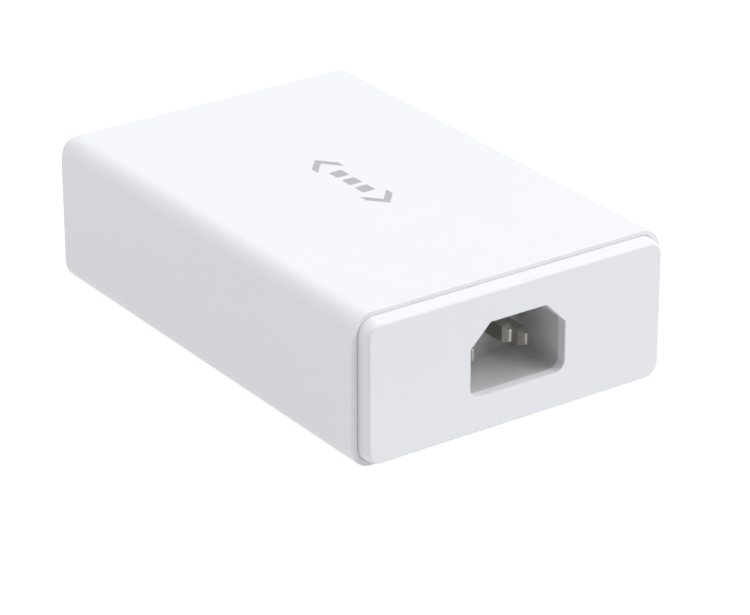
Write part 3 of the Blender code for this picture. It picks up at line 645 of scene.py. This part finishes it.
def end_cap(name, end, node_name):
    """A bevelled tray with a round edge to its face, and four barbed tongues."""
    bm = bmesh.new()
    side, top = CAP_CORNER_INSET
    stations = [((side + inset, top + inset), FACE_Y - depth) for inset, depth in quarter(CAP_EDGE_ROUND)]
    stations += [
        (CAP_BASE_INSET, RIM_Y),
        (CAP_BASE_INSET, RIM_Y - CAP_DEPTH),
        (CAP_SKIRT_INSET, RIM_Y - CAP_DEPTH),
        (CAP_SKIRT_INSET, FACE_Y - CAP_PLATE),
    ]
    add_loft(bm, [housing_loop(inset, end * y) for inset, y in stations])
    cap = new_piece(name, bm, HOUSING, [node_name])
    tongues = tongue_places([end])
    stems = [tongue_box(t, TONGUE_HALF_WIDTH, TONGUE_INSET, (TONGUE_ROOT, TONGUE_LENGTH)) for t in tongues]
    barb_insets = (BARB_INSET, TONGUE_INSET[1] - BARB_SINK)
    barbs = [tongue_box(t, TONGUE_HALF_WIDTH - BARB_SIDE, barb_insets, BARB_SPAN) for t in tongues]
    carve(cap, box_tool("stems", stems), "UNION")
    carve(cap, box_tool("barbs", barbs), "UNION")
    return cap


def flared(outline_of, end, lip, depth):
    """A tool for a cap's opening, with a round lip. outline_of() gives its outline, grown by a distance."""
    stations = [(lip, -OVERCUT)]
    stations += [(grow, fall) for fall, grow in reversed(quarter(lip))]
    stations.append((0.0, depth))
    bm = bmesh.new()
    add_loft(bm, [outline_at(outline_of(grow), "Y", end * (FACE_Y - fall)) for grow, fall in stations])
    return new_piece("opening", bm, HOUSING)


def inlet_outline(grow=0.0):
    """The mains inlet's outline: two chamfered corners above and two round ones below."""
    half = INLET_HALF_WIDTH
    low = INLET_CENTRE_Z - INLET_HALF_HEIGHT
    high = INLET_CENTRE_Z + INLET_HALF_HEIGHT
    corners = (
        (-half, low),
        (half, low),
        (half, high - INLET_CHAMFER),
        (half - INLET_CHAMFER, high),
        (INLET_CHAMFER - half, high),
        (-half, high - INLET_CHAMFER),
    )
    return rounded_outline(corners, (INLET_ROUND,) * 2 + (INLET_EDGE,) * 4, grow)


def inlet_cap():
    cap = end_cap("inlet_cap", -1, "inlet_end_cap")
    carve(cap, flared(inlet_outline, -1, INLET_LIP, CAP_PLATE + INLET_OVERCUT))
    settle_normals(cap)


def port_cap():
    cap = end_cap("port_cap", 1, "port_end_cap")
    depth = CAP_PLATE + PORT_OVERCUT
    for number in (1, 2):
        low, high = box_mm(f"jack_shield_{number}")
        corners = ((low.x - GAP, low.z - GAP), (high.x + GAP, high.z + GAP))
        carve(cap, flared(lambda grow: rectangle(*corners, PORT_ROUND, grow), 1, PORT_LIP, depth))
        low, high = box_mm(f"light_pipe_{number}")
        middle = ((low.x + high.x) / 2, (low.z + high.z) / 2)
        reach = (high.x - low.x) / 2 + GAP
        carve(cap, flared(lambda grow: circle(middle, reach + grow), 1, PORT_LIP, depth))
    settle_normals(cap)


# ---- mains inlet ----

def inlet_socket():
    """The moulded socket with soft edges, a slot for each pin and two legs."""
    front = INLET_LOW.y
    bm = bmesh.new()
    stations = [
        (INLET_WALL, INLET_HIGH.y),
        (INLET_WALL, front + SOCKET_EDGE),
        (INLET_WALL - SOCKET_EDGE, front),
        (INLET_STEP + SOCKET_EDGE, front),
        (INLET_STEP, front + SOCKET_EDGE),
    ]
    for from_back, inward in quarter(SOCKET_CORNER):
        stations.append((-INLET_DRAFT - inward, INLET_BACK - from_back))
    add_loft(bm, [outline_at(inlet_outline(grow), "Y", y) for grow, y in stations])
    socket = new_piece("inlet_socket", bm, INLET, ["inlet_shell"])
    leg_top = INLET_CENTRE_Z - INLET_HALF_HEIGHT - INLET_WALL / 2
    legs = []
    for x in (-SOCKET_LEG_AT, SOCKET_LEG_AT):
        corner = (x - SOCKET_LEG_HALF_WIDTH, INLET_BACK - SOCKET_LEG_DEPTH, INLET_LOW.z)
        legs.append((corner, (x + SOCKET_LEG_HALF_WIDTH, INLET_BACK + SOCKET_LEG_ROOT, leg_top)))
    carve(socket, box_tool("legs", legs), "UNION")
    slots = []
    for pin in PINS:
        low, high = pin_section(pin)
        corner = (low[0] - PIN_SLOT_GAP, INLET_BACK - OVERCUT, low[1] - PIN_SLOT_GAP)
        slots.append((corner, (high[0] + PIN_SLOT_GAP, INLET_HIGH.y + OVERCUT, high[1] + PIN_SLOT_GAP)))
    carve(socket, box_tool("slots", slots))
    settle_normals(socket)


def pin_section(pin):
    """The two corners of a pin's cross-section, from its CAD node."""
    low, high = box_mm(pin)
    return (low.x, high.z - PIN_HEIGHT), (high.x, high.z)


def mains_pins():
    """Solid blades with soft edges and a tapered tip. Each tail turns down through the board."""
    for pin in PINS:
        low, high = box_mm(pin)
        section = pin_section(pin)
        middle = ((section[0][0] + section[1][0]) / 2, (section[0][1] + section[1][1]) / 2)
        loops = []
        for bevel, y in ((PIN_TIP_EDGE, low.y), (0.0, low.y + PIN_TIP_BEVEL)):
            half_width = PIN_TIP[0] / 2 - bevel
            half_height = PIN_TIP[1] / 2 - bevel
            tip = rectangle(
                (middle[0] - half_width, middle[1] - half_height),
                (middle[0] + half_width, middle[1] + half_height),
                PIN_TIP_EDGE,
            )
            loops.append(outline_at(tip, "Y", y))
        for y in (low.y + PIN_TIP_LENGTH, high.y):
            loops.append(outline_at(rectangle(*section, PIN_EDGE), "Y", y))
        bm = bmesh.new()
        add_loft(bm, loops)
        piece = new_piece(f"{pin}_blade", bm, PIN, [pin])
        near, far = PIN_TAIL_SPAN
        tail = (
            (middle[0] - PIN_TAIL_HALF_WIDTH, high.y - far, low.z),
            (middle[0] + PIN_TAIL_HALF_WIDTH, high.y - near, middle[1]),
        )
        carve(piece, box_tool("tail", [tail]), "UNION")
        smooth(piece, PIN_SHARP)
        settle_normals(piece)


# ---- network side ----

def folded_outline(left, bottom, right, top, bend):
    """The outline of a sheet that is folded over at its two upper corners."""
    corners = ((left, bottom), (right, bottom), (right, top), (left, top))
    return rounded_outline(corners, (SHIELD_EDGE, SHIELD_EDGE, bend, bend))


def jack_shield(number):
    """A folded steel sheet round the jack, with a sprung tongue that turns into each side of the mouth."""
    low, high = box_mm(f"jack_shield_{number}")
    sheet = SHIELD_SHEET
    outside = folded_outline(low.x, low.z, high.x, high.z, SHIELD_BEND)
    bm = bmesh.new()
    add_loft(bm, [outline_at(outside, "Y", y) for y in (low.y, high.y - SHIELD_SETBACK)])
    shield = new_piece(f"shield_{number}", bm, STEEL, [f"jack_shield_{number}"])
    inside = folded_outline(
        low.x + sheet, low.z - OVERCUT, high.x - sheet, high.z - sheet, SHIELD_BEND - sheet
    )
    bm = bmesh.new()
    add_loft(bm, [outline_at(inside, "Y", y) for y in (low.y + sheet, high.y + OVERCUT)])
    carve(shield, new_piece("hollow", bm, STEEL))
    settle_normals(shield)
    heights = [low.z + MOUTH_LOW + height for height in SPRING_HEIGHTS]
    middle = (low.x + high.x) / 2
    bm = bmesh.new()
    for side in (-1, 1):
        add_tongue(bm, middle, side, high.x - middle, high.y, heights)
    tongues = new_piece(f"shield_tongues_{number}", bm, STEEL)
    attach(tongues, "root")


def add_tongue(bm, middle, side, half, front, heights):
    """A strip from the shield's front edge, across the insert's face and back inside the mouth."""
    route = [(half - SHIELD_SHEET, front - SHIELD_EDGE)]
    route += [(MOUTH_WIDTH / 2 + out, front + ahead) for out, ahead in SPRING_COURSE]
    low, high = heights
    loops = []
    for i, (x, y) in enumerate(route):
        ahead = Vector(route[min(i + 1, len(route) - 1)]) - Vector(route[max(i - 1, 0)])
        across = Vector((ahead.y, -ahead.x)).normalized() * SPRING_SHEET / 2
        ends = [(x - across.x, y - across.y), (x + across.x, y + across.y)]
        loops.append([
            (middle + side * ends[0][0], ends[0][1], low),
            (middle + side * ends[1][0], ends[1][1], low),
            (middle + side * ends[1][0], ends[1][1], high),
            (middle + side * ends[0][0], ends[0][1], high),
        ])
    add_loft(bm, loops)


def jack_insert(number):
    """The moulded insert: a bevelled mouth with its latch notch, and a slot above it for the contacts."""
    low, high = box_mm(f"jack_housing_{number}")
    floor = low.z + MOUTH_LOW
    ceiling = floor + MOUTH_HEIGHT
    middle = (low.x + high.x) / 2
    front = high.y
    corners = ((low.x, low.z), (high.x, high.z))
    stations = [(0.0, low.y), (0.0, front - INSERT_EDGE), (-INSERT_EDGE, front)]
    bm = bmesh.new()
    add_loft(bm, [outline_at(rectangle(*corners, INSERT_ROUND, grow), "Y", y) for grow, y in stations])
    insert = new_piece(f"jack_insert_{number}", bm, BLACK, [f"jack_housing_{number}"])
    openings = [(MOUTH_WIDTH, floor, ceiling)]
    openings += [(width, floor - depth, floor + OVERCUT) for width, depth in LATCH_NOTCHES]
    stations = [
        (MOUTH_BEVEL, front + OVERCUT),
        (MOUTH_BEVEL, front),
        (0.0, front - MOUTH_BEVEL),
        (0.0, front - MOUTH_DEPTH),
    ]
    for width, bottom, top in openings:
        corners = ((middle - width / 2, bottom), (middle + width / 2, top))
        bm = bmesh.new()
        add_loft(bm, [outline_at(rectangle(*corners, MOUTH_ROUND, grow), "Y", y) for grow, y in stations])
        carve(insert, new_piece("mouth", bm, BLACK))
    slot = (
        (middle - SLOT_WIDTH / 2, front - SLOT_SPAN[1], ceiling + SLOT_HEIGHTS[0]),
        (middle + SLOT_WIDTH / 2, front - SLOT_SPAN[0], ceiling + SLOT_HEIGHTS[1]),
    )
    carve(insert, box_tool("slot", [slot]))
    settle_normals(insert)


def light_pipe(number):
    """A clear rod with a domed end at the cap's face."""
    low, high = box_mm(f"light_pipe_{number}")
    middle = ((low.x + high.x) / 2, (low.z + high.z) / 2)
    radius = (high.x - low.x) / 2
    profile = [(low.y, radius - PIPE_EDGE), (low.y + PIPE_EDGE, radius)]
    profile += [(high.y + (rise - 1) * DOME_RISE, radius * share) for rise, share in dome()]
    name = f"light_lens_{number}"
    turned(name, middle, "Y", profile, CLEAR, [f"light_pipe_{number}"])


def dome():
    """(rise, radius) pairs of a round end, both from 0 to 1, that stop just short of its middle."""
    turns = [i / (DOME_STEPS + DOME_END) * math.pi / 2 for i in range(DOME_STEPS + 1)]
    return [(math.sin(turn), math.cos(turn)) for turn in turns]


def turned(name, centre, axis, profile, finish, replaced, steps=48):
    """A solid of revolution from (distance along the axis, radius) pairs."""
    bm = bmesh.new()
    add_loft(bm, [outline_at(circle(centre, radius, steps), axis, along) for along, radius in profile])
    piece = new_piece(name, bm, finish, replaced)
    settle_normals(piece)
    return piece


# ---- power parts ----

def add_tube(bm, path, radius, steps=8):
    """A round wire along a path of points."""
    loops = []
    for i, point in enumerate(path):
        ahead = (path[min(i + 1, len(path) - 1)] - path[max(i - 1, 0)]).normalized()
        side = ahead.cross(Vector((0.0, 0.0, 1.0))).normalized()
        up = side.cross(ahead)
        turns = [2 * math.pi * step / steps for step in range(steps)]
        loops.append([tuple(point + radius * (math.cos(t) * side + math.sin(t) * up)) for t in turns])
    add_loft(bm, loops)


def choke_coils():
    """The choke's two coils: enamelled wire wound round the ring, one on each side of it."""
    low, high = box_mm("choke_core")
    centre = (low + high) / 2
    core_radius = (high.z - low.z) / 2
    ring = (high.x - low.x) / 2 - core_radius
    reach = core_radius + GAP + CHOKE_WIRE
    for number, start in enumerate(CHOKE_STARTS, start=1):
        path = []
        for i in range(CHOKE_TURNS * COIL_STEPS + 1):
            around = math.radians(start + CHOKE_ARC * i / (CHOKE_TURNS * COIL_STEPS))
            turn = 2 * math.pi * i / COIL_STEPS
            out = ring + reach * math.cos(turn)
            point = Vector((out * math.cos(around), out * math.sin(around), reach * math.sin(turn)))
            path.append(centre + point)
        bm = bmesh.new()
        add_tube(bm, path, CHOKE_WIRE)
        new_piece(f"choke_coil_{number}", bm, COPPER, [f"choke_winding_{number}"])


def drum_inductor():
    """A ferrite drum with round edges and a coil of wire in its waist."""
    low, high = box_mm("output_inductor")
    centre = (low + high) / 2
    radius = high.x - centre.x
    waist = radius - DRUM_WAIST
    profile = sorted((low.z + depth, radius - inset) for depth, inset in quarter(DRUM_EDGE))
    profile += [(low.z + DRUM_FLANGE, radius), (low.z + DRUM_FLANGE, waist)]
    profile += [(low.z + high.z - z, r) for z, r in reversed(profile)]
    turned("drum_core", centre, "Z", profile, FERRITE, ["output_inductor"])
    rise = high.z - low.z - 2 * (DRUM_FLANGE + DRUM_WIRE)
    count = int(rise / (2 * DRUM_WIRE)) * COIL_STEPS
    path = []
    for i in range(count + 1):
        turn = 2 * math.pi * i / COIL_STEPS
        around = Vector((math.cos(turn), math.sin(turn), 0.0)) * (waist + DRUM_WIRE)
        z = low.z + DRUM_FLANGE + DRUM_WIRE + rise * i / count
        path.append(Vector((centre.x, centre.y, z)) + around)
    bm = bmesh.new()
    add_tube(bm, path, DRUM_WIRE)
    coil = new_piece("drum_coil", bm, COPPER)
    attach(coil, "root")


def capacitor(name):
    """A sleeved can with a crimp groove, whose bare top carries a cross-shaped vent."""
    low, high = box_mm(name)
    centre = (low + high) / 2
    radius = high.x - centre.x
    profile = [(low.z, radius - CAN_FOOT_EDGE), (low.z + CAN_FOOT_EDGE, radius)]
    for i in range(CRIMP_STEPS + 1):
        share = i / CRIMP_STEPS
        dip = CRIMP_DEPTH * math.sin(math.pi * share)
        profile.append((low.z + CRIMP_AT + CRIMP_WIDTH * share, radius - dip))
    profile += sorted((high.z - depth, radius - inset) for depth, inset in quarter(CAN_EDGE))
    rim = radius - CAN_EDGE - SLEEVE_LAP
    top = high.z - SLEEVE_THICKNESS
    profile += [(high.z, rim), (top, rim)]
    turned(f"{name}_sleeve", centre, "Z", profile, SLEEVE, [name])
    profile = [(top - LID_SINK, rim), (top + LID_RISE - LID_EDGE, rim), (top + LID_RISE, rim - LID_EDGE)]
    lid = turned(f"{name}_lid", centre, "Z", profile, ALUMINIUM, [])
    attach(lid, "root")
    arm = rim * VENT_REACH
    half = VENT_WIDTH / 2
    bars = []
    for half_x, half_y in ((arm, half), (half, arm)):
        corner = (centre.x - half_x, centre.y - half_y, top + LID_RISE - VENT_DEPTH)
        bars.append((corner, (centre.x + half_x, centre.y + half_y, top + OVERCUT)))
    for bar in bars:
        carve(lid, box_tool("vent", [bar]))


def disc_capacitor(name):
    """A lens-shaped coated disc on two wires."""
    low, high = box_mm(name)
    centre = (low + high) / 2
    radius = high.x - centre.x
    half = (high.y - low.y) / 2
    profile = []
    for i in range(1, DISC_STEPS):
        turn = math.pi * i / DISC_STEPS
        profile.append((centre.y - half * math.cos(turn), radius * math.sin(turn) ** 0.5))
    middle = (centre.x, centre.z)
    turned(f"{name}_disc", middle, "Y", profile, EPOXY, [name])
    bm = bmesh.new()
    for side in (-1, 1):
        x = centre.x + side * radius / 2
        rises = (0.0, 1.0, radius / 2)
        path = [Vector((x, centre.y + LEAD_LEAN * i, BOARD_HIGH.z + rise)) for i, rise in enumerate(rises)]
        add_tube(bm, path, LEAD_RADIUS)
    leads = new_piece(f"{name}_leads", bm, PIN)
    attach(leads, "root")


# ---- the printed mark ----

def printed_mark():
    """A generic network pictogram on the top: three dots between two angle brackets, read along the box."""
    bm = bmesh.new()
    outlines = []
    half = MARK_DOT / 2
    for along in (-MARK_PITCH, 0.0, MARK_PITCH):
        outlines.append(rectangle((-half, along - half), (half, along + half), MARK_CORNER))
    for end in (-1, 1):
        outlines.append(bracket(end))
    for outline in outlines:
        add_loft(bm, [outline_at(outline, "Z", z) for z in (TOP_Z - INK_SINK, TOP_Z + INK_THICKNESS)])
    piece = new_piece("printed_mark", bm, INK)
    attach(piece, "root")


def bracket(end):
    """An angle bracket whose point faces one end of the box."""
    half = MARK_WIDTH / 2
    point = MARK_LENGTH / 2
    arm = point - MARK_REACH
    outer = [(-half, arm), (0.0, point), (half, arm)]
    inner = [(x, y - MARK_STROKE) for x, y in reversed(outer)]
    return [(x, end * y) for x, y in outer + inner]


# ---- studio ----

def seen_as(tree, strength, for_light, for_camera):
    """Gives a glow one strength where it lights the object and another where the camera sees it."""
    ray = node(tree, "ShaderNodeLightPath")
    glow = node(tree, "ShaderNodeMapRange", in_To_Min=for_light, in_To_Max=for_camera)
    tree.links.new(ray.outputs["Is Camera Ray"], glow.inputs["Value"])
    tree.links.new(glow.outputs["Result"], strength)


def studio():
    """A pale floor and an even surround, which look white to the camera and light the object less."""
    scene = bpy.context.scene
    scene.view_settings.view_transform = "Standard"
    world = bpy.data.worlds.new("studio")
    scene.world = world
    world.use_nodes = True
    background = world.node_tree.nodes["Background"]
    background.inputs["Color"].default_value = (1.0, 1.0, 1.0, 1.0)
    seen_as(world.node_tree, background.inputs["Strength"], SURROUND_LIGHT, SURROUND_GLOW)
    bm = bmesh.new()
    corners = ((-1, -1), (1, -1), (1, 1), (-1, 1))
    bm.faces.new([bm.verts.new((x * FLOOR_REACH, y * FLOOR_REACH, 0.0)) for x, y in corners])
    mesh = bpy.data.meshes.new("floor")
    bm.to_mesh(mesh)
    bm.free()
    floor = bpy.data.objects.new("floor", mesh)
    scene.collection.objects.link(floor)
    finish = bpy.data.materials.new("floor")
    finish.use_nodes = True
    tree = finish.node_tree
    shader = tree.nodes["Principled BSDF"]
    shader.inputs["Base Color"].default_value = (FLOOR_SHADE, FLOOR_SHADE, FLOOR_SHADE, 1.0)
    shader.inputs["Roughness"].default_value = 0.9
    shader.inputs["Emission Color"].default_value = (1.0, 1.0, 1.0, 1.0)
    seen_as(tree, shader.inputs["Emission Strength"], FLOOR_LIGHT, FLOOR_GLOW)
    mesh.materials.append(finish)


def lamp(name, towards, power):
    """A square soft light, aimed at the object from a direction."""
    light = bpy.data.lights.new(name, "AREA")
    light.shape = "SQUARE"
    light.size = LAMP_SIZE * MM
    light.energy = power
    made = bpy.data.objects.new(name, light)
    way = Vector(towards).normalized()
    made.location = way * LAMP_DISTANCE * MM
    made.rotation_mode = "QUATERNION"
    made.rotation_quaternion = way.to_track_quat("Z", "Y")
    bpy.context.scene.collection.objects.link(made)


def camera():
    data = bpy.data.cameras.new("camera")
    data.lens = CAMERA_LENS
    data.sensor_width = 36.0
    data.clip_start = 0.05
    data.clip_end = 50.0
    made = bpy.data.objects.new("camera", data)
    level = math.cos(CAMERA_ELEVATION)
    back = Vector((
        math.sin(CAMERA_AZIMUTH) * level,
        -math.cos(CAMERA_AZIMUTH) * level,
        math.sin(CAMERA_ELEVATION),
    ))
    made.location = (CAMERA_AIM + back * CAMERA_DISTANCE) * MM
    made.rotation_mode = "QUATERNION"
    made.rotation_quaternion = back.to_track_quat("Z", "Y") @ Quaternion((0.0, 0.0, 1.0), CAMERA_ROLL)
    bpy.context.scene.collection.objects.link(made)
    bpy.context.scene.camera = made


for part in frame["record"]["subparts"]:
    if part["material_slot"] in FINISHES:
        finish_node(part["node"], FINISHES[part["material_slot"]])
for package in ("switching_transistor", "output_diode"):
    finish_node(package, PACKAGE)
sleeve()
feet()
inlet_cap()
port_cap()
inlet_socket()
mains_pins()
for port in (1, 2):
    jack_shield(port)
    jack_insert(port)
    light_pipe(port)
choke_coils()
drum_inductor()
for can_name in ("bulk_capacitor", "output_capacitor_1", "output_capacitor_2"):
    capacitor(can_name)
for disc_name in ("varistor", "y_capacitor"):
    disc_capacitor(disc_name)
printed_mark()
studio()
for lamp_name, (towards, power) in LAMPS.items():
    lamp(lamp_name, towards, power)
camera()
